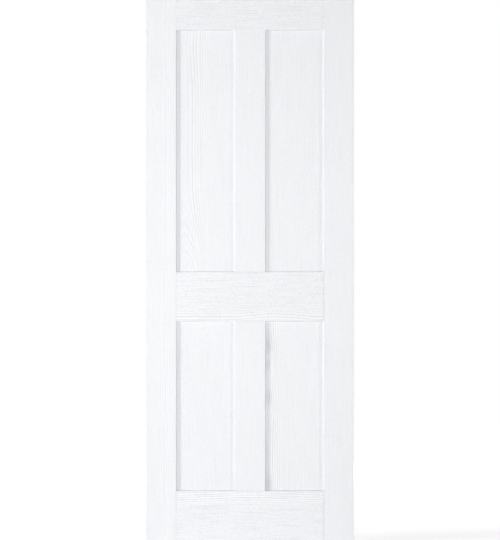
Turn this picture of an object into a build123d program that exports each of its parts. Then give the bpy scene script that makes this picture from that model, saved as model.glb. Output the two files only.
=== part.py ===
from build123d import *
import os

# Four-panel timber fire door leaf, in millimetres.
# The origin is at the foot of the hinge edge, halfway through the thickness.
# +X runs across the leaf to the lock edge, -Y faces the viewer, +Z is up.

# Overall size of the leaf
door_width = 762.0
door_height = 1981.0
door_thickness = 44.0

# Hardwood strips that close the two long edges
lipping_thickness = 6.0
lipping_arris = 0.3

# Faces of the frame members, as seen from the front
stile_width = 110.0
muntin_width = 111.0
top_rail_depth = 111.0
lock_rail_depth = 179.5
lock_rail_bottom = 804.0
bottom_rail_depth = 181.0

# Layers of a frame member, and how far its panel edges splay from face to panel
facing_thickness = 9.0
edge_splay = 1.6

# Panels: how they sit between the facings, and their raised field
groove_depth = 12.0
panel_side_gap = 2.0
panel_top_gap = 4.0
field_gap = 0.3
field_slope = 15.0
field_rise = 2.5

# Heights and widths that follow from the sizes above
front_face = -door_thickness / 2
front_seat = front_face + facing_thickness
core_thickness = door_thickness - 2 * facing_thickness
hinge_stile_edge = stile_width
lock_stile_edge = door_width - stile_width
muntin_left = (door_width - muntin_width) / 2
muntin_right = muntin_left + muntin_width
lock_rail_top = lock_rail_bottom + lock_rail_depth
top_rail_bottom = door_height - top_rail_depth
# A core stops short of its member's face edge, and the facings reach past it as a groove
core_setback = groove_depth - edge_splay

os.makedirs("parts", exist_ok=True)


def write(piece, name):
    """Label a finished piece and write it as a node of its own."""
    piece.part.label = name
    export_step(piece.part, f"parts/{name}.step")


def facing_section(low, high, low_worked, high_worked):
    """Corners of a front facing's section, as (across, depth) pairs.

    low and high are the edges of its face. A worked edge faces a panel, and splays
    outwards from the face down to it.
    """
    low_foot = low - edge_splay if low_worked else low
    high_foot = high + edge_splay if high_worked else high
    return [(low, front_face), (high, front_face), (high_foot, front_seat), (low_foot, front_seat)]


def cope_section(edge, way):
    """Section of a splayed edge that a coped end is cut to, as (across, depth) pairs."""
    return [(edge, front_face), (edge + way * edge_splay, front_seat), (edge, front_seat)]


def turned(corners):
    """Swap (across, depth) corners to (depth, across), for a section seen from the side."""
    return [(depth, across) for across, depth in corners]


def write_both_facings(front, name):
    """Write a front facing, and the same board on the back of the leaf."""
    write(front, f"{name}_front_facing")
    with BuildPart() as back:
        mirror(front.part, about=Plane.XZ)
    write(back, f"{name}_back_facing")


def write_core(name, left, right, bottom, top):
    """Write a member's core, a plain bar between its two facings."""
    with BuildPart() as core:
        with BuildSketch(Plane.XY.offset(bottom)):
            with Locations(((left + right) / 2, 0)):
                Rectangle(right - left, core_thickness)
        extrude(amount=top - bottom)
    write(core, f"{name}_core")


def write_stile(name, outer, edge, edge_is_high):
    """Write an upright at one side of the leaf: its face runs from outer to edge."""
    low, high = min(outer, edge), max(outer, edge)
    with BuildPart() as front:
        with BuildSketch(Plane.XY):
            with BuildLine():
                section = facing_section(low, high, not edge_is_high, edge_is_high)
                Polyline(*section, close=True)
            make_face()
        extrude(amount=door_height)
    write_both_facings(front, name)
    if edge_is_high:
        write_core(name, low, high - core_setback, 0, door_height)
    else:
        write_core(name, low + core_setback, high, 0, door_height)


def write_rail(name, bottom, top, panel_below, panel_above):
    """Write a rail between the stiles, its ends coped over the stiles' splays."""
    with BuildPart() as front:
        with BuildSketch(Plane.YZ.offset(hinge_stile_edge)):
            with BuildLine():
                section = facing_section(bottom, top, panel_below, panel_above)
                Polyline(*turned(section), close=True)
            make_face()
        extrude(amount=lock_stile_edge - hinge_stile_edge)
        for edge, way in ((hinge_stile_edge, 1), (lock_stile_edge, -1)):
            with BuildSketch(Plane.XY):
                with BuildLine():
                    Polyline(*cope_section(edge, way), close=True)
                make_face()
            extrude(amount=door_height, mode=Mode.SUBTRACT)
    write_both_facings(front, name)
    write_core(
        name,
        hinge_stile_edge - core_setback,
        lock_stile_edge + core_setback,
        bottom + core_setback if panel_below else bottom,
        top - core_setback if panel_above else top,
    )


def write_muntin(name, bottom, top):
    """Write the upright between two panels, its ends coped over the rails' splays."""
    with BuildPart() as front:
        with BuildSketch(Plane.XY.offset(bottom)):
            with BuildLine():
                section = facing_section(muntin_left, muntin_right, True, True)
                Polyline(*section, close=True)
            make_face()
        extrude(amount=top - bottom)
        for edge, way in ((bottom, 1), (top, -1)):
            with BuildSketch(Plane.YZ):
                with BuildLine():
                    Polyline(*turned(cope_section(edge, way)), close=True)
                make_face()
            extrude(amount=door_width, mode=Mode.SUBTRACT)
    write_both_facings(front, name)
    write_core(
        name,
        muntin_left + core_setback,
        muntin_right - core_setback,
        bottom - core_setback,
        top + core_setback,
    )


def write_panel(name, left, right, bottom, top):
    """Write a panel for the opening between four face edges.

    It stands on the groove of the rail below, with room to move at its sides and top,
    and has the same raised field on both faces. The field slopes down to the uprights
    at its sides, and its square ends run up to the rails.
    """
    slab_left = left - core_setback + panel_side_gap
    slab_right = right + core_setback - panel_side_gap
    slab_bottom = bottom - core_setback
    slab_top = top + core_setback - panel_top_gap
    slab_middle = ((slab_left + slab_right) / 2, (slab_bottom + slab_top) / 2)
    field_left = left + edge_splay + field_gap
    field_right = right - edge_splay - field_gap
    field_bottom = bottom + edge_splay + field_gap
    field_top = top - edge_splay - field_gap
    field_face = front_seat - field_rise
    with BuildPart() as panel:
        with BuildSketch(Plane.XZ):
            with Locations(slab_middle):
                Rectangle(slab_right - slab_left, slab_top - slab_bottom)
        extrude(amount=core_thickness / 2)
        with BuildSketch(Plane.XY.offset(field_bottom)):
            with BuildLine():
                Polyline(
                    (field_left, front_seat),
                    (field_left + field_slope, field_face),
                    (field_right - field_slope, field_face),
                    (field_right, front_seat),
                    close=True,
                )
            make_face()
        extrude(amount=field_top - field_bottom)
        mirror(about=Plane.XZ)
    write(panel, name)


def write_lipping(name, outer, way):
    """Write the strip on a long edge of the leaf, its outer corners eased."""
    with BuildPart() as lipping:
        with BuildSketch(Plane.XY) as strip:
            with Locations((outer + way * lipping_thickness / 2, 0)):
                Rectangle(lipping_thickness, door_thickness)
            outer_corners = strip.vertices().group_by(Axis.X)[0 if way > 0 else -1]
            chamfer(outer_corners, length=lipping_arris)
        extrude(amount=door_height)
    write(lipping, name)


# Edges
write_lipping("hinge_edge_lipping", 0, 1)
write_lipping("lock_edge_lipping", door_width, -1)

# Frame
write_stile("hinge_stile", lipping_thickness, hinge_stile_edge, True)
write_stile("lock_stile", door_width - lipping_thickness, lock_stile_edge, False)
write_rail("top_rail", top_rail_bottom, door_height, True, False)
write_rail("lock_rail", lock_rail_bottom, lock_rail_top, True, True)
write_rail("bottom_rail", 0, bottom_rail_depth, False, True)
write_muntin("upper_muntin", lock_rail_top, top_rail_bottom)
write_muntin("lower_muntin", bottom_rail_depth, lock_rail_bottom)

# Panels
for side, left, right in (
    ("left", hinge_stile_edge, muntin_left),
    ("right", muntin_right, lock_stile_edge),
):
    write_panel(f"upper_{side}_panel", left, right, lock_rail_top, top_rail_bottom)
    write_panel(f"lower_{side}_panel", left, right, bottom_rail_depth, lock_rail_bottom)
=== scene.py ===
import logging
import math
from dataclasses import dataclass
from enum import Enum

import bmesh
import bpy
import numpy as np
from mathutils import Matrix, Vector


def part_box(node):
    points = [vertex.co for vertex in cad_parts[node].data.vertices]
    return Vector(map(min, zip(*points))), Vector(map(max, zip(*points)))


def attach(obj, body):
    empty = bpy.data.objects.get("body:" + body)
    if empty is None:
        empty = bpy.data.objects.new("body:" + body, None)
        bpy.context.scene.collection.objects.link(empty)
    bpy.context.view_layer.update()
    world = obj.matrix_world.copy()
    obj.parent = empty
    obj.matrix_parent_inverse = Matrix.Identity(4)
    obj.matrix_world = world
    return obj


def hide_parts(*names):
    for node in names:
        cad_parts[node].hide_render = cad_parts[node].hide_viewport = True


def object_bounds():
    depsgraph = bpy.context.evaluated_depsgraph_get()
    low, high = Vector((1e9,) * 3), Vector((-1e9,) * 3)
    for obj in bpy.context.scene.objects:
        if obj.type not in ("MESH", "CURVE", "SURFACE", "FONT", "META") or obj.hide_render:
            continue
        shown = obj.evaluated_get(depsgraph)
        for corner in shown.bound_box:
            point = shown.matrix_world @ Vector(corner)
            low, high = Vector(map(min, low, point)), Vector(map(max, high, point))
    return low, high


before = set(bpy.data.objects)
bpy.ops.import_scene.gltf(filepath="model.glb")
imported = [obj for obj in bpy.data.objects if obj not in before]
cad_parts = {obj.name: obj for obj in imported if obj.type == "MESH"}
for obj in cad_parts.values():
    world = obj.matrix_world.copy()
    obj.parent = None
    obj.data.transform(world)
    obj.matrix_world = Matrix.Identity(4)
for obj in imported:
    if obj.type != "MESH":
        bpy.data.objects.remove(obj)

CAD_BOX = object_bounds()
LOG = logging.getLogger("door_leaf")

MM = 0.001
BODY = "root"

# Values that a board carries on its points: where a point lies in the timber, which way
# its face lifts, its edge walls off the face (which take painted shade), its count of growth
# rings from the heart, how strongly their lines show, and its dark heartwood
ACROSS = "across"
ALONG = "along"
LIFT = "lift"
EDGE_SHADE_MASK = "edge_shade_mask"
RING_COUNT = "ring_count"
RING_STRENGTH = "ring_strength"
HEARTWOOD = "heartwood"

# Values that the grain relief takes for each knot
KNOT_VALUES = ("across", "along", "width", "length", "push", "stain")

# Edges of a mesh that turn by more than this stay sharp
SHARP_ANGLE = math.radians(30)

# The photograph's frame, and where the leaf lies in it
IMAGE_HEIGHT_PX = 540
LEAF_LEFT_PX = 146.0
LEAF_TOP_PX = -0.5
LEAF_WIDTH_PX = 208.1

Source = bpy.types.NodeSocket | float | tuple


class Run(Enum):
    """Which way the grain of a board runs."""

    UPRIGHT = "upright"
    LEVEL = "level"

    def scale(self, width: float, length: float) -> tuple[float, float, float]:
        """Scale that makes a pattern width wide across the grain and length long with it."""
        across, along = 1.0 / width, 1.0 / length
        return (across, across, along) if self is Run.UPRIGHT else (along, across, across)


class Side(Enum):
    """A face of the leaf, by the way that it looks along Y."""

    FRONT = -1
    BACK = 1


class Wiring:
    """Adds nodes to a tree and joins their sockets."""

    def __init__(self, tree: bpy.types.NodeTree) -> None:
        """Keep the tree that the nodes go into."""
        self.tree = tree

    def node(self, kind: str, **settings: object) -> bpy.types.Node:
        """Add a node.

        Args:
            kind: Blender's name for the kind of node.
            settings: properties of the node to set.

        Returns:
            The new node.
        """
        made = self.tree.nodes.new(kind)
        for name, value in settings.items():
            setattr(made, name, value)
        return made

    def feed(self, target: bpy.types.NodeSocket, source: Source) -> None:
        """Join a socket to another one, or give it a value of its own.

        Args:
            target: the input that is fed.
            source: an output to join it to, or a plain value.
        """
        if isinstance(source, bpy.types.NodeSocket):
            self.tree.links.new(source, target)
        else:
            target.default_value = source

    def math(self, operation: str, *sources: Source) -> bpy.types.NodeSocket:
        """Work out a number.

        Args:
            operation: the sum to do, by Blender's name for it.
            sources: its terms, as outputs or plain numbers.

        Returns:
            The output that holds the answer.
        """
        made = self.node("ShaderNodeMath", operation=operation)
        for socket, source in zip(made.inputs, sources):
            self.feed(socket, source)
        return made.outputs[0]

    def total(self, *sources: Source) -> bpy.types.NodeSocket:
        """Add up two or more numbers.

        Args:
            sources: the terms, as outputs or plain numbers.

        Returns:
            The output that holds the sum.
        """
        answer = sources[0]
        for source in sources[1:]:
            answer = self.math("ADD", answer, source)
        return answer

    def ramp(self, value: Source, low: float, high: float) -> bpy.types.NodeSocket:
        """Turn a value into a smooth step.

        Args:
            value: the number to ramp.
            low: where the step is still 0.
            high: where it has reached 1.

        Returns:
            The output that holds the step.
        """
        made = self.node("ShaderNodeMapRange", interpolation_type="SMOOTHSTEP")
        self.feed(made.inputs["Value"], value)
        made.inputs["From Min"].default_value = low
        made.inputs["From Max"].default_value = high
        return made.outputs[0]

    def vector(self, x: Source, y: Source, z: Source) -> bpy.types.NodeSocket:
        """Join three numbers into a vector.

        Args:
            x: its first number.
            y: its second number.
            z: its third number.

        Returns:
            The output that holds the vector.
        """
        made = self.node("ShaderNodeCombineXYZ")
        for socket, source in zip(made.inputs, (x, y, z)):
            self.feed(socket, source)
        return made.outputs[0]

    def noise(self, place: Source, scale: float = 1.0, detail: float = 2.0) -> bpy.types.NodeSocket:
        """Smooth noise from 0 to 1.

        Args:
            place: where the noise is read.
            scale: how many of its swells fit in one unit.
            detail: how many finer layers lie on it.

        Returns:
            The output that holds the noise.
        """
        made = self.node("ShaderNodeTexNoise", noise_dimensions="3D")
        self.feed(made.inputs["Vector"], place)
        made.inputs["Scale"].default_value = scale
        made.inputs["Detail"].default_value = detail
        return made.outputs[0]


def blank_material(name: str) -> tuple[bpy.types.Material, Wiring]:
    """Make a material with an empty tree.

    Args:
        name: the material's name.

    Returns:
        The material, and the wiring of its tree.
    """
    made = bpy.data.materials.new(name)
    made.use_nodes = True
    made.node_tree.nodes.clear()
    return made, Wiring(made.node_tree)


def photo_scale() -> float:
    """Metres that one pixel of the photograph shows."""
    return (CAD_BOX[1].x - CAD_BOX[0].x) / LEAF_WIDTH_PX


def photo_place(x_px: float, y_px: float, run: Run) -> tuple[float, float]:
    """Where a pixel of the photograph lies on a board.

    Args:
        x_px: the pixel's column.
        y_px: its row.
        run: which way the board's grain runs.

    Returns:
        The place across the grain and along it, in metres.
    """
    x = CAD_BOX[0].x + (x_px - LEAF_LEFT_PX) * photo_scale()
    z = CAD_BOX[1].z - (y_px - LEAF_TOP_PX) * photo_scale()
    return (x, z) if run is Run.UPRIGHT else (z, x)


@dataclass(frozen=True)
class Band:
    """A strip of a board, along the grain, where the ring lines show more strongly.

    Its middle and half width are counted in pixels of the photograph.
    """

    middle_px: float = 0.0
    half_px: float = 1.0
    strength: float = 0.0


@dataclass(frozen=True)
class Knot:
    """A swirl in the timber. Rings bend round it, and its heart shows grey through the paint.

    Its place is given by the pixel of the photograph where it shows.
    """

    x_px: float
    y_px: float
    width: float
    length: float
    push: float = 0.0
    stain: float = 0.0


@dataclass(frozen=True)
class Figure:
    """How the growth rings of one board run, in metres.

    pith is how far the heart of the rings lies from the middle of the board, and depth how
    far behind its face. lean drifts it sideways along the board, rise changes its depth,
    which closes the rings into arches, and wander lets it stray within wander_length.
    """

    pith: float
    depth: float
    seed: float
    lean: float = 0.0
    rise: float = 0.0
    wander: float = 5 * MM
    wander_length: float = 0.35
    pitch: float = 8.8 * MM
    ripple: float = 1.2 * MM
    relief: float = 0.14 * MM
    fibre: float = 0.10 * MM
    line: float = 0.05
    band: Band = Band()
    knots: tuple[Knot, ...] = ()


class GrainRelief:
    """Geometry Nodes that raise growth rings and brushed fibres on the faces of a board."""

    KNOTS = 6
    # Inputs that take a board's figure as it stands
    FIGURE_VALUES = (
        "Depth", "Lean", "Rise", "Wander", "Wander length", "Pitch", "Ripple", "Relief", "Fibre", "Line",
        "Seed",
    )
    # Where in a year's growth the ridge of late wood rises and falls
    RIDGE_RISE = (0.35, 0.85)
    RIDGE_FALL = (0.86, 1.0)
    # The softest year's ridge, and how much higher the hardest year's is
    SOFT_YEAR = 0.25
    HARD_YEAR = 0.75
    # Sets the drift of the heart's depth apart from its drift sideways
    DEPTH_DRIFT = 31.7
    RIPPLE_WIDTH = 30 * MM
    RIPPLE_LENGTH = 90 * MM
    FIBRE_WIDTH = 3.4 * MM
    FIBRE_LENGTH = 60 * MM

    def __init__(self) -> None:
        """Build the tree, with its named inputs."""
        self.tree = bpy.data.node_groups.new("grain_relief", "GeometryNodeTree")
        self.inputs: dict[str, str] = {}
        self._declare("Geometry", "NodeSocketGeometry")
        for name in ("Pith", "Middle", "Band middle", "Band half", "Band strength", *self.FIGURE_VALUES):
            self._declare(name)
        for number in range(self.KNOTS):
            for name in KNOT_VALUES:
                self._declare(f"Knot {number} {name}")
        self._declare("Material", "NodeSocketMaterial")
        self.tree.interface.new_socket("Geometry", in_out="OUTPUT", socket_type="NodeSocketGeometry")
        self._wire()

    def _declare(self, name: str, kind: str = "NodeSocketFloat") -> None:
        """Add a named input and remember its identifier."""
        made = self.tree.interface.new_socket(name, in_out="INPUT", socket_type=kind)
        self.inputs[name] = made.identifier

    @staticmethod
    def _carried(wiring: Wiring, name: str) -> bpy.types.NodeSocket:
        """Read a value that the board carries on its points.

        Args:
            wiring: the tree's wiring.
            name: what the value is called.

        Returns:
            The output that holds the value.
        """
        made = wiring.node("GeometryNodeInputNamedAttribute", data_type="FLOAT")
        made.inputs["Name"].default_value = name
        return made.outputs["Attribute"]

    @staticmethod
    def _store(wiring: Wiring, shape: Source, name: str, value: Source) -> bpy.types.NodeSocket:
        """Write a value on the points of a shape.

        Args:
            wiring: the tree's wiring.
            shape: the geometry that takes the value.
            name: what the value is called.
            value: the output that holds it.

        Returns:
            The geometry that carries the value.
        """
        made = wiring.node("GeometryNodeStoreNamedAttribute", data_type="FLOAT", domain="POINT")
        wiring.feed(made.inputs["Geometry"], shape)
        made.inputs["Name"].default_value = name
        wiring.feed(made.inputs["Value"], value)
        return made.outputs["Geometry"]

    def _swirls(
        self, w: Wiring, given: bpy.types.Node, across: Source, along: Source
    ) -> tuple[bpy.types.NodeSocket, bpy.types.NodeSocket]:
        """Add up what the knots do at a point.

        Args:
            w: the tree's wiring.
            given: the tree's inputs.
            across: the point's place across the grain.
            along: its place along the grain.

        Returns:
            How far the knots push the rings, and how dark they stain the timber.
        """
        pushes: list[bpy.types.NodeSocket] = []
        stains: list[bpy.types.NodeSocket] = []
        for number in range(self.KNOTS):
            knot = {name: given.outputs[f"Knot {number} {name}"] for name in KNOT_VALUES}
            far_across = w.math("DIVIDE", w.math("SUBTRACT", across, knot["across"]), knot["width"])
            far_along = w.math("DIVIDE", w.math("SUBTRACT", along, knot["along"]), knot["length"])
            fall = w.total(w.math("POWER", far_across, 4.0), w.math("POWER", far_along, 2.0))
            swell = w.math("EXPONENT", w.math("MULTIPLY", fall, -1.0))
            pushes.append(w.math("MULTIPLY", swell, knot["push"]))
            stains.append(w.math("MULTIPLY", swell, knot["stain"]))
        return w.total(*pushes), w.total(*stains)

    def _wire(self) -> None:
        """Join the nodes from the board to its grained copy."""
        w = Wiring(self.tree)
        given = w.node("NodeGroupInput")
        value = given.outputs
        across = self._carried(w, ACROSS)
        along = self._carried(w, ALONG)
        lift = self._carried(w, LIFT)
        step = w.math("DIVIDE", along, value["Wander length"])
        from_middle = w.math("SUBTRACT", along, value["Middle"])

        def stray(offset: float) -> bpy.types.NodeSocket:
            """A slow drift to either side, up to the wander.

            Args:
                offset: sets this drift apart from others of the same board.

            Returns:
                The output that holds the drift.
            """
            place = w.vector(step, w.total(value["Seed"], offset), 0.0)
            centred = w.math("SUBTRACT", w.noise(place, detail=1.5), 0.5)
            return w.math("MULTIPLY", w.math("MULTIPLY", centred, 2.0), value["Wander"])

        pith = w.total(value["Pith"], w.math("MULTIPLY", from_middle, value["Lean"]), stray(0.0))
        drop = w.math("MULTIPLY", from_middle, value["Rise"])
        depth = w.total(value["Depth"], drop, stray(self.DEPTH_DRIFT))
        aside = w.math("SUBTRACT", across, pith)
        radius = w.math(
            "SQRT", w.total(w.math("MULTIPLY", aside, aside), w.math("MULTIPLY", depth, depth))
        )
        push, stain = self._swirls(w, given, across, along)
        ripple_place = w.vector(
            w.math("DIVIDE", across, self.RIPPLE_WIDTH),
            w.math("DIVIDE", along, self.RIPPLE_LENGTH),
            value["Seed"],
        )
        ripple = w.math(
            "MULTIPLY",
            w.math("SUBTRACT", w.noise(ripple_place), 0.5),
            w.math("MULTIPLY", value["Ripple"], 2.0),
        )
        rings = w.math("DIVIDE", w.total(radius, push, ripple), value["Pitch"])
        growth = w.math("FRACT", rings)
        year = w.node("ShaderNodeTexWhiteNoise", noise_dimensions="1D")
        w.feed(year.inputs["W"], w.total(w.math("FLOOR", rings), value["Seed"]))
        hardness = w.math("MULTIPLY_ADD", year.outputs["Value"], self.HARD_YEAR, self.SOFT_YEAR)
        ridge = w.math(
            "MULTIPLY",
            w.ramp(growth, *self.RIDGE_RISE),
            w.math("SUBTRACT", 1.0, w.ramp(growth, *self.RIDGE_FALL)),
        )
        line = w.math("MULTIPLY", ridge, hardness)
        in_band = w.math("DIVIDE", w.math("SUBTRACT", across, value["Band middle"]), value["Band half"])
        swell = w.math("EXPONENT", w.math("MULTIPLY", w.math("MULTIPLY", in_band, in_band), -1.0))
        strength = w.total(value["Line"], w.math("MULTIPLY", swell, value["Band strength"]))
        fibre_place = w.vector(
            w.math("DIVIDE", across, self.FIBRE_WIDTH),
            w.math("DIVIDE", along, self.FIBRE_LENGTH),
            value["Seed"],
        )
        fibre = w.math("SUBTRACT", w.noise(fibre_place), 0.5)
        height = w.total(
            w.math("MULTIPLY", line, value["Relief"]), w.math("MULTIPLY", fibre, value["Fibre"])
        )
        raised = w.node("GeometryNodeSetPosition")
        w.feed(raised.inputs["Geometry"], value["Geometry"])
        w.feed(raised.inputs["Offset"], w.vector(0.0, w.math("MULTIPLY", height, lift), 0.0))
        shape = self._store(w, raised.outputs["Geometry"], RING_COUNT, rings)
        shape = self._store(w, shape, RING_STRENGTH, strength)
        shape = self._store(w, shape, HEARTWOOD, stain)
        solid = w.node("GeometryNodeRealizeInstances")
        w.feed(solid.inputs["Geometry"], shape)
        dressed = w.node("GeometryNodeSetMaterial")
        w.feed(dressed.inputs["Geometry"], solid.outputs["Geometry"])
        w.feed(dressed.inputs["Material"], value["Material"])
        w.feed(w.node("NodeGroupOutput").inputs["Geometry"], dressed.outputs["Geometry"])

    def work(
        self,
        piece: bpy.types.Object,
        figure: Figure,
        run: Run,
        middle: tuple[float, float],
        material: bpy.types.Material,
    ) -> None:
        """Raise the grain on a board and leave it as a plain mesh.

        Args:
            piece: the board, with its places and lifts on its points.
            figure: how its growth rings run.
            run: which way its grain runs.
            middle: the board's middle, across and along the grain.
            material: the finish that it gets.
        """
        settings: dict[str, object] = {
            "Pith": middle[0] + figure.pith,
            "Band middle": photo_place(figure.band.middle_px, figure.band.middle_px, run)[0],
            "Band half": figure.band.half_px * photo_scale(),
            "Band strength": figure.band.strength,
            "Middle": middle[1],
            "Material": material,
        }
        for name in self.FIGURE_VALUES:
            settings[name] = getattr(figure, name.lower().replace(" ", "_"))
        for number in range(self.KNOTS):
            settings[f"Knot {number} width"] = settings[f"Knot {number} length"] = 1.0
        for number, knot in enumerate(figure.knots):
            place = photo_place(knot.x_px, knot.y_px, run)
            held = (*place, knot.width, knot.length, knot.push, knot.stain)
            for name, setting in zip(KNOT_VALUES, held):
                settings[f"Knot {number} {name}"] = setting
        modifier = piece.modifiers.new("grain", "NODES")
        modifier.node_group = self.tree
        for name, setting in settings.items():
            modifier[self.inputs[name]] = setting
        graph = bpy.context.evaluated_depsgraph_get()
        grained = bpy.data.meshes.new_from_object(
            piece.evaluated_get(graph), preserve_all_data_layers=True, depsgraph=graph
        )
        piece.modifiers.remove(modifier)
        bare = piece.data
        piece.data = grained
        grained.name = piece.name
        bpy.data.meshes.remove(bare)
        for name in (ACROSS, ALONG, LIFT):
            grained.attributes.remove(grained.attributes[name])


@dataclass(frozen=True)
class PaintedTimber:
    """White satin paint on brushed timber: open pores, ring lines and grey heartwood show through, and
    the edge walls off the face can take painted shade.
    """

    name: str
    run: Run
    colour: tuple[float, float, float, float] = (0.867, 0.882, 0.902, 1.0)
    early_colour: tuple[float, float, float, float] = (0.950, 0.962, 0.978, 1.0)
    pore_colour: tuple[float, float, float, float] = (0.42, 0.43, 0.46, 1.0)
    pore_tint: float = 0.10
    fleck_tint: float = 0.14
    heart_tint: float = 0.45
    early_share: float = 1.1
    # Painted shade: how much darker the paint turns on the edge walls off the face, standing in for the
    # shade in the recesses
    painted_edge_shade: float = 0.0
    pore_size: tuple[float, float] = (1.7 * MM, 150 * MM)
    fleck_size: tuple[float, float] = (1.6 * MM, 6 * MM)
    brush_size: tuple[float, float] = (0.9 * MM, 22 * MM)
    mottle_size: float = 0.12
    pore_range: tuple[float, float] = (0.45, 0.70)
    fleck_range: tuple[float, float] = (0.45, 0.75)
    late_rise: tuple[float, float] = (0.50, 0.80)
    late_fall: tuple[float, float] = (0.84, 0.97)
    soft_year: float = 0.4
    roughness: tuple[float, float] = (0.46, 0.62)
    gloss: float = 0.25
    bump_height: float = 0.25 * MM

    def material(self) -> bpy.types.Material:
        """Build the finish.

        Returns:
            A material that reads the board's own coordinates and carried values.
        """
        made, w = blank_material(self.name)
        shader = w.node("ShaderNodeBsdfPrincipled")
        w.feed(w.node("ShaderNodeOutputMaterial").inputs["Surface"], shader.outputs[0])
        place = w.node("ShaderNodeTexCoord").outputs["Object"]
        pores = w.noise(self._stretched(w, place, self.pore_size), detail=3.0)
        flecks = w.noise(self._stretched(w, place, self.fleck_size), detail=1.0)
        brush = w.noise(self._stretched(w, place, self.brush_size), detail=2.0)
        mottle = w.noise(place, scale=1.0 / self.mottle_size, detail=2.0)
        heartwood = w.node("ShaderNodeAttribute", attribute_name=HEARTWOOD).outputs["Fac"]
        worked = w.node("ShaderNodeAttribute", attribute_name=EDGE_SHADE_MASK).outputs["Fac"]
        strength = w.node("ShaderNodeAttribute", attribute_name=RING_STRENGTH).outputs["Fac"]
        early = w.node("ShaderNodeMix", data_type="RGBA")
        w.feed(early.inputs["Factor"], w.math("MULTIPLY", strength, self.early_share))
        early.inputs[6].default_value = self.colour
        early.inputs[7].default_value = self.early_colour
        tint = w.total(
            w.math("MULTIPLY", w.ramp(pores, *self.pore_range), self.pore_tint),
            w.math("MULTIPLY", w.ramp(flecks, *self.fleck_range), self.fleck_tint),
            w.math("MULTIPLY", self._late_wood(w), strength),
            w.math("MULTIPLY", heartwood, self.heart_tint),
            # Painted shade on the edge walls off the face
            w.math("MULTIPLY", worked, self.painted_edge_shade),
        )
        mix = w.node("ShaderNodeMix", data_type="RGBA")
        w.feed(mix.inputs["Factor"], tint)
        w.feed(mix.inputs[6], early.outputs[2])
        mix.inputs[7].default_value = self.pore_colour
        w.feed(shader.inputs["Base Color"], mix.outputs[2])
        sheen = w.node("ShaderNodeMapRange")
        w.feed(sheen.inputs["Value"], mottle)
        sheen.inputs["To Min"].default_value, sheen.inputs["To Max"].default_value = self.roughness
        w.feed(shader.inputs["Roughness"], sheen.outputs[0])
        shader.inputs["Specular IOR Level"].default_value = self.gloss
        bump = w.node("ShaderNodeBump")
        bump.inputs["Distance"].default_value = self.bump_height
        w.feed(bump.inputs["Height"], w.math("SUBTRACT", w.math("MULTIPLY", brush, 0.5), pores))
        w.feed(shader.inputs["Normal"], bump.outputs["Normal"])
        return made

    def _late_wood(self, w: Wiring) -> bpy.types.NodeSocket:
        """Find the dark late part of each growth ring.

        Args:
            w: the material's wiring.

        Returns:
            The output that holds how dark the late wood is.
        """
        rings = w.node("ShaderNodeAttribute", attribute_name=RING_COUNT).outputs["Fac"]
        growth = w.math("FRACT", rings)
        year = w.node("ShaderNodeTexWhiteNoise", noise_dimensions="1D")
        w.feed(year.inputs["W"], w.math("FLOOR", rings))
        late = w.math(
            "MULTIPLY",
            w.ramp(growth, *self.late_rise),
            w.math("SUBTRACT", 1.0, w.ramp(growth, *self.late_fall)),
        )
        hardness = w.math("MULTIPLY_ADD", year.outputs["Value"], 1.0 - self.soft_year, self.soft_year)
        return w.math("MULTIPLY", late, hardness)

    def _stretched(
        self, w: Wiring, place: bpy.types.NodeSocket, size: tuple[float, float]
    ) -> bpy.types.NodeSocket:
        """Stretch a pattern along the grain.

        Args:
            w: the material's wiring.
            place: the coordinates to stretch.
            size: the pattern's size across and along the grain.

        Returns:
            The stretched coordinates.
        """
        mapping = w.node("ShaderNodeMapping")
        w.feed(mapping.inputs["Vector"], place)
        mapping.inputs["Scale"].default_value = self.run.scale(*size)
        return mapping.outputs[0]


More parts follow.
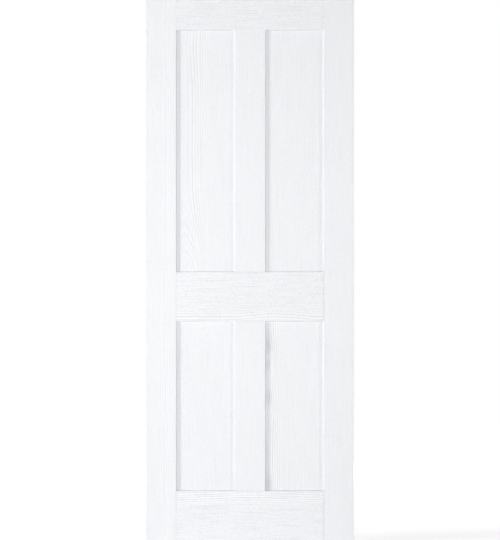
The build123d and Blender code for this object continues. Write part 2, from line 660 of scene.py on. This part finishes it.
@dataclass(frozen=True)
class SealedCore:
    """Glued-up core timber under a thin white sealer, with its end grain and glue lines."""

    name: str = "white_sealed_core"
    colour: tuple[float, float, float, float] = (0.80, 0.80, 0.79, 1.0)
    ring_colour: tuple[float, float, float, float] = (0.66, 0.64, 0.60, 1.0)
    strip: float = 32 * MM
    ring_pitch: float = 3.2 * MM
    ring_range: tuple[float, float] = (0.4, 0.95)
    ring_tint: float = 0.55
    ring_bow: float = 1.5
    glue_range: tuple[float, float] = (0.485, 0.5)
    roughness: float = 0.7
    bump_height: float = 0.3 * MM

    def material(self) -> bpy.types.Material:
        """Build the finish, with rings bowed across each glued strip.

        Returns:
            A material that reads the solid's own coordinates.
        """
        made, w = blank_material(self.name)
        shader = w.node("ShaderNodeBsdfPrincipled")
        shader.inputs["Roughness"].default_value = self.roughness
        w.feed(w.node("ShaderNodeOutputMaterial").inputs["Surface"], shader.outputs[0])
        place = w.node("ShaderNodeTexCoord").outputs["Object"]
        parts = w.node("ShaderNodeSeparateXYZ")
        w.feed(parts.inputs[0], place)
        across = w.math("DIVIDE", parts.outputs["X"], self.strip)
        in_strip = w.math("SUBTRACT", w.math("FRACT", across), 0.5)
        number = w.node("ShaderNodeTexWhiteNoise", noise_dimensions="1D")
        w.feed(number.inputs["W"], w.math("FLOOR", across))
        bow = w.math("MULTIPLY", w.math("MULTIPLY", in_strip, in_strip), 4.0)
        rings = w.total(
            w.math("DIVIDE", parts.outputs["Y"], self.ring_pitch),
            w.math(
                "MULTIPLY",
                bow,
                w.math("MULTIPLY_ADD", number.outputs["Value"], 2 * self.ring_bow, -self.ring_bow),
            ),
            w.noise(place, scale=60.0),
        )
        line = w.ramp(w.math("FRACT", rings), *self.ring_range)
        glue = w.ramp(w.math("ABSOLUTE", in_strip), *self.glue_range)
        mix = w.node("ShaderNodeMix", data_type="RGBA")
        w.feed(mix.inputs["Factor"], w.math("MAXIMUM", w.math("MULTIPLY", line, self.ring_tint), glue))
        mix.inputs[6].default_value = self.colour
        mix.inputs[7].default_value = self.ring_colour
        w.feed(shader.inputs["Base Color"], mix.outputs[2])
        bump = w.node("ShaderNodeBump")
        bump.inputs["Distance"].default_value = self.bump_height
        w.feed(bump.inputs["Height"], w.math("SUBTRACT", w.math("MULTIPLY", line, 0.4), glue))
        w.feed(shader.inputs["Normal"], bump.outputs["Normal"])
        return made


@dataclass(frozen=True)
class LeafSizes:
    """Sizes that the boards of the leaf share, read from the frame."""

    half: float
    seat: float
    splay: float

    @classmethod
    def from_frame(cls) -> "LeafSizes":
        """Read them from a stile's facing and from a rail that is coped to it.

        Returns:
            The shared sizes.
        """
        stile_low, stile_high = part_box("hinge_stile_front_facing")
        rail_low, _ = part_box("top_rail_front_facing")
        return cls(
            half=-stile_low.y,
            seat=stile_high.y - stile_low.y,
            splay=stile_high.x - rail_low.x,
        )

    def cut_back(self, depth: np.ndarray) -> np.ndarray:
        """How far a splayed edge reaches past the face at each depth below it."""
        return self.splay * depth / self.seat


def spaced(low: float, high: float, step: float) -> np.ndarray:
    """Even stations from low to high.

    Args:
        low: the first station.
        high: the last one.
        step: about how far apart they are.

    Returns:
        The stations, both ends among them.
    """
    return np.linspace(low, high, max(2, round((high - low) / step) + 1))


def new_piece(
    name: str, points: np.ndarray, faces: list[tuple[int, ...]], carried: dict[str, np.ndarray]
) -> bpy.types.Object:
    """Make a closed piece whose faces look outwards.

    Args:
        name: the piece's name.
        points: its corners, one row each.
        faces: its faces, by the numbers of their corners.
        carried: values to write on its points, by name.

    Returns:
        The new object, linked to the scene.
    """
    mesh = bpy.data.meshes.new(name)
    mesh.from_pydata(points.tolist(), [], faces)
    shell = bmesh.new()
    shell.from_mesh(mesh)
    bmesh.ops.recalc_face_normals(shell, faces=shell.faces)
    shell.to_mesh(mesh)
    shell.free()
    for value_name, values in carried.items():
        layer = mesh.attributes.new(value_name, "FLOAT", "POINT")
        layer.data.foreach_set("value", np.ascontiguousarray(values, dtype=np.float32))
    piece = bpy.data.objects.new(name, mesh)
    bpy.context.scene.collection.objects.link(piece)
    return piece


def settle(piece: bpy.types.Object, node: str) -> None:
    """Shade a finished board and put it in its node's place on the leaf.

    Args:
        piece: the finished board.
        node: the solid that it stands for.
    """
    piece.data.shade_smooth()
    piece.data.set_sharp_from_angle(angle=SHARP_ANGLE)
    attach(piece, BODY)
    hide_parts(node)
    LOG.info("%s: %d faces, for %s", piece.name, len(piece.data.polygons), node)


@dataclass
class FacingBoard:
    """One facing of a stile, rail or muntin, with splayed panel edges and coped ends."""

    member: str
    side: Side
    run: Run
    low_worked: bool
    high_worked: bool
    coped: bool
    figure: Figure
    sizes: LeafSizes
    gaps: tuple[float, float] = (0.0, 0.0)
    ease: float = 0.4 * MM
    arris: float = 0.12 * MM
    lip: float = 0.3 * MM
    fade: float = 2.5 * MM
    across_step: float = 0.9 * MM
    along_step: float = 10.0 * MM

    @property
    def node(self) -> str:
        """Name of the solid that the board stands for."""
        return f"{self.member}_{self.side.name.lower()}_facing"

    def _reach(self) -> tuple[float, float, float, float]:
        """Outermost places of the board.

        Returns:
            Its first and last place across the grain, then along it.
        """
        low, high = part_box(self.node)
        if self.run is Run.UPRIGHT:
            return low.x, high.x, low.z, high.z
        return low.z, high.z, low.x, high.x

    def _edge(self, worked: bool) -> tuple[np.ndarray, np.ndarray]:
        """Outline of one long edge, from the seat up to just below the face.

        Args:
            worked: whether the edge faces a panel and is splayed.

        Returns:
            How far each corner lies outside the flat of the face, and its depth below it.
        """
        corner = self.arris if worked else self.ease
        depth = np.array([self.sizes.seat, corner])
        return corner + (self.sizes.cut_back(depth) if worked else 0.0 * depth), depth

    def _section(self) -> tuple[np.ndarray, np.ndarray, np.ndarray]:
        """Outline of the board across its grain, from one seat over the face to the other.

        Returns:
            Each corner's place across the board, its depth below the face, and whether it
            is on the face.
        """
        low_foot, high_foot, _, _ = self._reach()
        low_out, low_depth = self._edge(self.low_worked)
        high_out, high_depth = self._edge(self.high_worked)
        low, high = low_foot + low_out[0], high_foot - high_out[0]
        flat = spaced(low, high, self.across_step)
        across = np.concatenate((low - low_out, flat, (high + high_out)[::-1]))
        depth = np.concatenate((low_depth, np.zeros_like(flat), high_depth[::-1]))
        on_face = np.zeros(len(across), dtype=bool)
        on_face[len(low_out) : len(low_out) + len(flat)] = True
        return across, depth, on_face

    def build(self) -> bpy.types.Object:
        """Sweep the section along the grain and close both ends.

        Returns:
            The bare board, with its places and lifts on its points.
        """
        _, _, run_low, run_high = self._reach()
        run_low, run_high = run_low + self.gaps[0], run_high - self.gaps[1]
        across, depth, on_face = self._section()
        drop = self.lip if self.coped else self.ease
        inset = drop + (float(self.sizes.cut_back(np.array(drop))) if self.coped else 0.0)
        flat = spaced(run_low + inset, run_high - inset, self.along_step)
        stations = np.concatenate(([run_low], flat, [run_high]))
        count, rows = len(across), len(stations)
        deep = np.repeat(depth[:, None], rows, axis=1)
        deep[:, 0] = deep[:, -1] = np.maximum(depth, drop)
        back = self.sizes.cut_back(deep) if self.coped else np.zeros_like(deep)
        share = ((stations - run_low) / (run_high - run_low))[None, :]
        along = stations[None, :] + back * (1.0 - 2.0 * share)
        wide = np.repeat(across[:, None], rows, axis=1)
        edge = np.minimum(wide - across[on_face][0], across[on_face][-1] - wide)
        end = np.minimum(along - run_low, run_high - along)
        fade = np.clip(np.minimum(edge, end) / self.fade, 0.0, 1.0)
        lift = np.where(on_face[:, None], fade * self.side.value, 0.0)
        y = self.side.value * (self.sizes.half - deep)
        x, z = (wide, along) if self.run is Run.UPRIGHT else (along, wide)
        points = np.stack([x, y, z], axis=-1).reshape(-1, 3)
        faces: list[tuple[int, ...]] = []
        for i in range(count):
            here, there = i * rows, (i + 1) % count * rows
            faces += [(here + j, there + j, there + j + 1, here + j + 1) for j in range(rows - 1)]
        for j in (0, rows - 1):
            faces.append(tuple(i * rows + j for i in range(1, count - 1)))
            faces.append(tuple(i * rows + j for i in (0, 1, count - 2, count - 1)))
        # Marks the edge walls off the face, where the paint puts painted shade
        worked = np.repeat(~on_face[:, None], rows, axis=1)
        carried = {
            ACROSS: wide.ravel(), ALONG: along.ravel(), LIFT: lift.ravel(), EDGE_SHADE_MASK: worked.ravel(),
        }
        return new_piece(f"{self.member}_{self.side.name.lower()}_board", points, faces, carried)

    def dress(
        self, piece: bpy.types.Object, grain: GrainRelief, material: bpy.types.Material, slot: str
    ) -> None:
        """Raise the grain, paint the board and put it on the leaf.

        Args:
            piece: the bare board.
            grain: the relief that raises its rings.
            material: its paint.
            slot: not used.
        """
        low, high, run_low, run_high = self._reach()
        middle = ((low + high) / 2, (run_low + run_high) / 2)
        grain.work(piece, self.figure, self.run, middle, material)
        settle(piece, self.node)


@dataclass
class RaisedPanel:
    """A panel of the leaf: a slab in its groove, with a raised field on both faces.

    The field slopes down to the uprights at its sides, and its square ends run up to the rails.
    """

    node: str
    opening: tuple[float, float, float, float]
    figure: Figure
    sizes: LeafSizes
    end_gaps: tuple[float, float]
    gap: float = 0.3 * MM
    slope: float = 15.0 * MM
    end_arris: float = 0.12 * MM
    fade: float = 2.5 * MM
    across_step: float = 0.9 * MM
    along_step: float = 10.0 * MM

    @staticmethod
    def _stations(
        slab: tuple[float, float], edge: tuple[float, float], rise: np.ndarray, step: float
    ) -> np.ndarray:
        """Stations over the panel in one direction.

        Args:
            slab: the slab's first and last edge.
            edge: the first and last place where the field starts to rise.
            rise: the stations from there up to the field.
            step: about how far apart the stations on the field are.

        Returns:
            The stations in order.
        """
        flat = spaced(edge[0] + rise[-1], edge[1] - rise[-1], step)[1:-1]
        return np.concatenate(([slab[0]], edge[0] + rise, flat, (edge[1] - rise)[::-1], [slab[1]]))

    def build(self) -> bpy.types.Object:
        """Lay out both faces on one grid and join them round the edge.

        Returns:
            The bare panel, with its places and lifts on its points.
        """
        low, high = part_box(self.node)
        left, right, bottom, top = self.opening
        inset = self.sizes.splay + self.gap
        sides = (left + inset, right - inset)
        ends = (bottom + self.sizes.splay, top - self.sizes.splay)
        side_rise = spaced(0.0, self.slope, self.across_step)
        end_rise = np.array([0.0, 0.0, self.end_arris])
        xs = self._stations((low.x, high.x), sides, side_rise, self.across_step)
        zs = self._stations((low.z, high.z), ends, end_rise, self.along_step)
        wide, tall = np.meshgrid(xs, zs, indexing="ij")
        from_side = np.minimum(wide - sides[0], sides[1] - wide)
        from_end = np.minimum(tall - ends[0], ends[1] - tall)
        side_share = np.clip(from_side / self.slope, 0.0, 1.0)
        field_share = np.zeros_like(side_share)
        field_share[:, 2:-2] = side_share[:, 2:-2]
        seat = self.sizes.half - self.sizes.seat
        out = seat + (high.y - seat) * field_share
        reach = self.sizes.cut_back(high.y - seat) * side_share[:, :1]
        tall[:, 2:4] += self.end_gaps[0] - reach
        tall[:, -4:-2] -= self.end_gaps[1] - reach
        bare = np.minimum(from_side, from_end)
        lift = np.clip(bare / self.fade, 0.0, 1.0)
        sheets = [
            np.stack([wide, side.value * out, tall], axis=-1).reshape(-1, 3) for side in Side
        ]
        columns, rows = len(xs), len(zs)
        half_count = columns * rows
        faces: list[tuple[int, ...]] = []
        for first in (0, half_count):
            faces += self._grid_faces(first, field_share)
        rim = [i * rows for i in range(columns)]
        rim += [(columns - 1) * rows + j for j in range(1, rows)]
        rim += [i * rows + rows - 1 for i in range(columns - 2, -1, -1)]
        rim += [j for j in range(rows - 2, 0, -1)]
        for here, there in zip(rim, rim[1:] + rim[:1]):
            faces.append((here, there, there + half_count, here + half_count))
        carried = {
            ACROSS: np.tile(wide.ravel(), 2),
            ALONG: np.tile(tall.ravel(), 2),
            LIFT: np.concatenate([(side.value * lift).ravel() for side in Side]),
        }
        return new_piece(f"{self.node}_board", np.concatenate(sheets), faces, carried)

    @staticmethod
    def _grid_faces(first: int, field_share: np.ndarray) -> list[tuple[int, ...]]:
        """Faces of one sheet of the panel.

        A cell whose four corners don't lie in one plane is cut in two.

        Args:
            first: the number of the sheet's first point.
            field_share: how far each point has risen to the field.

        Returns:
            The faces, by the numbers of their points.
        """
        columns, rows = field_share.shape
        faces: list[tuple[int, ...]] = []
        for i in range(columns - 1):
            for j in range(rows - 1):
                a, b = first + i * rows + j, first + (i + 1) * rows + j
                corners = field_share[i : i + 2, j : j + 2]
                twist = corners[0, 0] + corners[1, 1] - corners[0, 1] - corners[1, 0]
                if abs(twist) < 1e-6:
                    faces.append((a, b, b + 1, a + 1))
                elif corners[0, 0] != corners[1, 1]:
                    faces += [(a, b, b + 1), (a, b + 1, a + 1)]
                else:
                    faces += [(a, b, a + 1), (b, b + 1, a + 1)]
        return faces

    def dress(
        self, piece: bpy.types.Object, grain: GrainRelief, material: bpy.types.Material, slot: str
    ) -> None:
        """Raise the grain, paint the panel and put it on the leaf.

        Args:
            piece: the bare panel.
            grain: the relief that raises its rings.
            material: its paint.
            slot: not used.
        """
        left, right, bottom, top = self.opening
        middle = ((left + right) / 2, (bottom + top) / 2)
        grain.work(piece, self.figure, Run.UPRIGHT, middle, material)
        settle(piece, self.node)


@dataclass
class FrameMember:
    """A stile, rail or muntin: its two facings over the core."""

    name: str
    run: Run
    low_worked: bool
    high_worked: bool
    coped: bool
    front: Figure
    back: Figure
    gaps: tuple[float, float] = (0.0, 0.0)

    def make(
        self, sizes: LeafSizes, grain: GrainRelief, paint: bpy.types.Material, core: bpy.types.Material
    ) -> None:
        """Build and dress both facings, and seal the core.

        Args:
            sizes: sizes that the boards share.
            grain: the relief that raises their rings.
            paint: the paint for this way of the grain.
            core: the core's finish.
        """
        slot = "white_upright_facing" if self.run is Run.UPRIGHT else "white_rail_facing"
        for side, figure in ((Side.FRONT, self.front), (Side.BACK, self.back)):
            board = FacingBoard(
                self.name, side, self.run, self.low_worked, self.high_worked, self.coped, figure, sizes,
                self.gaps,
            )
            board.dress(board.build(), grain, paint, slot)
        dress_solid(f"{self.name}_core", core)


def dress_solid(node: str, material: bpy.types.Material) -> None:
    """Give a solid that stays as it is its finish.

    Args:
        node: the solid's name.
        material: the finish.
    """
    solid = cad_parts[node]
    solid.data.materials.clear()
    solid.data.materials.append(material)
    LOG.info("%s: keeps its shape, in %s", node, material.name)


@dataclass(frozen=True)
class SoftLamp:
    """A soft box that lights the leaf and isn't seen itself."""

    name: str
    place: tuple[float, float, float]
    aim: tuple[float, float, float]
    size: tuple[float, float]
    power: float

    def hang(self) -> None:
        """Put the lamp in the scene."""
        data = bpy.data.lights.new(self.name, "AREA")
        data.shape = "RECTANGLE"
        data.size, data.size_y = self.size
        data.energy = self.power
        lamp = bpy.data.objects.new(self.name, data)
        bpy.context.scene.collection.objects.link(lamp)
        lamp.location = self.place
        way = Vector(self.aim) - Vector(self.place)
        lamp.rotation_euler = way.to_track_quat("-Z", "Y").to_euler()
        lamp.visible_camera = False


@dataclass
class Studio:
    """Plain floor, soft light and the camera."""

    distance: float = 12.0
    sensor: float = 36.0
    ambient: float = 0.35
    floor_reach: float = 9.0
    floor_gap: float = 4 * MM
    floor_colour: tuple[float, float, float, float] = (0.90, 0.90, 0.90, 1.0)
    floor_glow_near: float = 0.50
    floor_glow_far: float = 0.76
    floor_fade: tuple[float, float] = (0.6, 3.0)
    lamps: tuple[SoftLamp, ...] = (
        SoftLamp("side_box", (-5.22, -1.93, 1.1), (0.38, 0.0, 0.8), (1.1, 1.0), 197.0),
        SoftLamp("front_box", (0.38, -5.0, 0.58), (0.38, 0.0, 0.9), (0.9, 0.8), 97.0),
        SoftLamp("back_box", (0.38, 5.0, 0.9), (0.38, 0.0, 0.9), (0.9, 0.8), 75.0),
    )

    def light(self) -> None:
        """Hang the lamps and set the even light around the leaf."""
        for lamp in self.lamps:
            lamp.hang()
        world = bpy.data.worlds.new("surround")
        bpy.context.scene.world = world
        world.use_nodes = True
        world.node_tree.nodes.clear()
        w = Wiring(world.node_tree)
        soft = w.node("ShaderNodeBackground")
        soft.inputs["Strength"].default_value = self.ambient
        white = w.node("ShaderNodeBackground")
        for background in (soft, white):
            background.inputs["Color"].default_value = (1.0, 1.0, 1.0, 1.0)
        mix = w.node("ShaderNodeMixShader")
        w.feed(mix.inputs[0], self._seen(w))
        w.feed(mix.inputs[1], soft.outputs[0])
        w.feed(mix.inputs[2], white.outputs[0])
        w.feed(w.node("ShaderNodeOutputWorld").inputs["Surface"], mix.outputs[0])

    @staticmethod
    def _seen(w: Wiring) -> bpy.types.NodeSocket:
        """Whether a ray shows the surround, straight, mirrored or through something.

        Args:
            w: the wiring of the tree that asks.

        Returns:
            The output that is 1 where it does.
        """
        path = w.node("ShaderNodeLightPath")
        straight = w.math("MAXIMUM", path.outputs["Is Camera Ray"], path.outputs["Is Glossy Ray"])
        return w.math("MAXIMUM", straight, path.outputs["Is Transmission Ray"])

    def lay_floor(self) -> None:
        """Lay the pale floor just under the leaf. It is less white near by, and keeps the shadow."""
        middle = (CAD_BOX[0] + CAD_BOX[1]) / 2
        level = CAD_BOX[0].z - self.floor_gap
        corners = [
            (middle.x + sx * self.floor_reach, middle.y + sy * self.floor_reach, level)
            for sx, sy in ((-1, -1), (1, -1), (1, 1), (-1, 1))
        ]
        mesh = bpy.data.meshes.new("floor")
        mesh.from_pydata(corners, [], [(0, 1, 2, 3)])
        floor = bpy.data.objects.new("floor", mesh)
        bpy.context.scene.collection.objects.link(floor)
        made, w = blank_material("pale_floor")
        matt = w.node("ShaderNodeBsdfDiffuse")
        matt.inputs["Color"].default_value = self.floor_colour
        away = w.node("ShaderNodeVectorMath", operation="DISTANCE")
        w.feed(away.inputs[0], w.node("ShaderNodeTexCoord").outputs["Object"])
        away.inputs[1].default_value = (middle.x, middle.y, level)
        gain = self.floor_glow_far - self.floor_glow_near
        fade = w.ramp(away.outputs["Value"], *self.floor_fade)
        white = w.math("MULTIPLY_ADD", fade, gain, self.floor_glow_near)
        glow = w.node("ShaderNodeEmission")
        w.feed(glow.inputs["Strength"], w.math("MULTIPLY", self._seen(w), white))
        both = w.node("ShaderNodeAddShader")
        w.feed(both.inputs[0], matt.outputs[0])
        w.feed(both.inputs[1], glow.outputs[0])
        w.feed(w.node("ShaderNodeOutputMaterial").inputs["Surface"], both.outputs[0])
        mesh.materials.append(made)

    def place_camera(self) -> None:
        """Set the camera square-on to the leaf, as far off as the photograph's flat view needs."""
        low, high = CAD_BOX
        scale = (high.x - low.x) / LEAF_WIDTH_PX
        data = bpy.data.cameras.new("camera")
        data.sensor_width = self.sensor
        data.lens = self.sensor * self.distance / (IMAGE_HEIGHT_PX * scale)
        data.clip_end = 10 * self.distance
        camera = bpy.data.objects.new("camera", data)
        bpy.context.scene.collection.objects.link(camera)
        middle = (low + high) / 2
        camera.location = (middle.x, low.y - self.distance, middle.z)
        camera.rotation_euler = (math.radians(90), 0.0, 0.0)
        bpy.context.scene.camera = camera

    def set_up(self) -> None:
        """Set up the floor, the light and the camera."""
        self.lay_floor()
        self.light()
        self.place_camera()
        bpy.context.scene.view_settings.view_transform = "Standard"
        LOG.info("studio: floor, surround, lamps and camera")


def members() -> list[FrameMember]:
    """The stiles, rails and muntins of the frame.

    Returns:
        The members, with the figure that each of their boards shows.
    """
    upright, level = Run.UPRIGHT, Run.LEVEL
    return [
        FrameMember(
            "hinge_stile", upright, False, True, False,
            front=Figure(
                pith=-0.16, depth=0.03, seed=3.1, lean=0.004, relief=0.12 * MM,
                band=Band(168, 6, 0.20),
            ),
            back=Figure(pith=0.04, depth=0.05, seed=53.1, lean=-0.01, rise=0.02),
        ),
        FrameMember(
            "lock_stile", upright, True, False, False,
            front=Figure(pith=0.22, depth=0.09, seed=7.4, relief=0.07 * MM, fibre=0.07 * MM),
            back=Figure(pith=-0.12, depth=0.05, seed=57.4, lean=0.006),
        ),
        FrameMember(
            "top_rail", level, True, False, True,
            front=Figure(
                pith=-0.20, depth=0.03, seed=11.9, wander=6 * MM, band=Band(10, 3, 0.10),
            ),
            back=Figure(pith=0.02, depth=0.05, seed=61.9, rise=0.03),
            gaps=(0.2 * MM, 0.4 * MM),
        ),
        FrameMember(
            "lock_rail", level, True, True, True,
            front=Figure(
                pith=-0.14, depth=0.02, seed=15.2, wander=4 * MM, pitch=10 * MM, relief=0.2 * MM,
                band=Band(317, 5, 0.40), knots=(Knot(277, 320, 50 * MM, 110 * MM, push=-12 * MM),),
            ),
            back=Figure(pith=0.03, depth=0.05, seed=65.2, rise=0.03),
            gaps=(0.4 * MM, 0.55 * MM),
        ),
        FrameMember(
            "bottom_rail", level, False, True, True,
            front=Figure(
                pith=0.14, depth=0.02, seed=19.6, wander=3 * MM, pitch=8 * MM, relief=0.2 * MM,
                band=Band(497, 7, 0.40), knots=(Knot(250, 500, 90 * MM, 190 * MM, push=9 * MM),),
            ),
            back=Figure(pith=-0.05, depth=0.04, seed=69.6, rise=0.02),
            gaps=(0.35 * MM, 0.55 * MM),
        ),
        FrameMember(
            "upper_muntin", upright, True, True, True,
            front=Figure(pith=-0.15, depth=0.07, seed=23.3, relief=0.08 * MM),
            back=Figure(pith=0.10, depth=0.06, seed=73.3),
            gaps=(0.3 * MM, 0.05 * MM),
        ),
        FrameMember(
            "lower_muntin", upright, True, True, True,
            front=Figure(pith=0.15, depth=0.07, seed=27.8, relief=0.08 * MM),
            back=Figure(pith=-0.10, depth=0.06, seed=77.8),
            gaps=(0.45 * MM, 0.4 * MM),
        ),
    ]


def panels(sizes: LeafSizes) -> list[RaisedPanel]:
    """The four panels, each set in the opening between its frame members.

    Args:
        sizes: sizes that the boards share.

    Returns:
        The panels, with the figure that each one shows.
    """
    hinge_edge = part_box("hinge_stile_front_facing")[1].x - sizes.splay
    lock_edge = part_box("lock_stile_front_facing")[0].x + sizes.splay
    muntin_low, muntin_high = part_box("upper_muntin_front_facing")
    lower_low, lower_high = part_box("lower_muntin_front_facing")
    left = (hinge_edge, muntin_low.x + sizes.splay)
    right = (muntin_high.x - sizes.splay, lock_edge)
    upper = (muntin_low.z, muntin_high.z)
    lower = (lower_low.z, lower_high.z)
    flame = Figure(
        pith=-0.079, depth=0.04, seed=31.5, wander=2 * MM, pitch=7.4 * MM, relief=0.3 * MM,
        band=Band(197, 7, 0.35),
        knots=(
            Knot(189, 290, 52 * MM, 200 * MM, push=-58 * MM),
            Knot(194, 47, 20 * MM, 90 * MM, push=5 * MM),
        ),
    )
    heart = Figure(
        pith=-0.13, depth=0.02, seed=39.4, wander=3 * MM, pitch=8 * MM, relief=0.2 * MM,
        band=Band(275, 6, 0.40),
        knots=(
            Knot(266, 378, 44 * MM, 120 * MM, push=-17 * MM),
            Knot(267, 365, 13 * MM, 20 * MM, stain=0.5),
            Knot(268.5, 346, 14 * MM, 36 * MM, stain=0.55),
            Knot(269, 397, 13 * MM, 28 * MM, stain=0.5),
            Knot(266, 455, 11 * MM, 80 * MM, stain=0.3),
            Knot(267, 484, 19 * MM, 44 * MM, push=-9 * MM, stain=0.6),
        ),
    )
    upper_gaps = (0.35 * MM, 0.95 * MM)
    lower_gaps = (0.54 * MM, 0.60 * MM)
    return [
        RaisedPanel("upper_left_panel", left + upper, flame, sizes, upper_gaps),
        RaisedPanel(
            "upper_right_panel", right + upper,
            Figure(pith=-0.24, depth=0.08, seed=35.2, relief=0.08 * MM), sizes, upper_gaps,
        ),
        RaisedPanel(
            "lower_left_panel", left + lower,
            Figure(pith=0.25, depth=0.08, seed=37.7, relief=0.07 * MM), sizes, lower_gaps,
        ),
        RaisedPanel("lower_right_panel", right + lower, heart, sizes, lower_gaps),
    ]


def main() -> None:
    """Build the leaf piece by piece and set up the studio."""
    logging.basicConfig(level=logging.INFO, format="%(name)s: %(message)s")
    sizes = LeafSizes.from_frame()
    grain = GrainRelief()
    paints = {
        # The upright paint darkens its edge walls off the face as painted shade
        Run.UPRIGHT: PaintedTimber("white_upright_paint", Run.UPRIGHT, painted_edge_shade=0.32).material(),
        Run.LEVEL: PaintedTimber(
            "white_rail_paint", Run.LEVEL, colour=(0.879, 0.892, 0.912, 1.0),
            pore_tint=0.20, fleck_tint=0.30, early_share=2.0,
        ).material(),
    }
    core = SealedCore().material()
    for member in members():
        member.make(sizes, grain, paints[member.run], core)
    for panel in panels(sizes):
        panel.dress(panel.build(), grain, paints[Run.UPRIGHT], "white_panel")
    for edge in ("hinge_edge_lipping", "lock_edge_lipping"):
        dress_solid(edge, paints[Run.UPRIGHT])
    Studio().set_up()


if __name__ == "__main__":
    main()
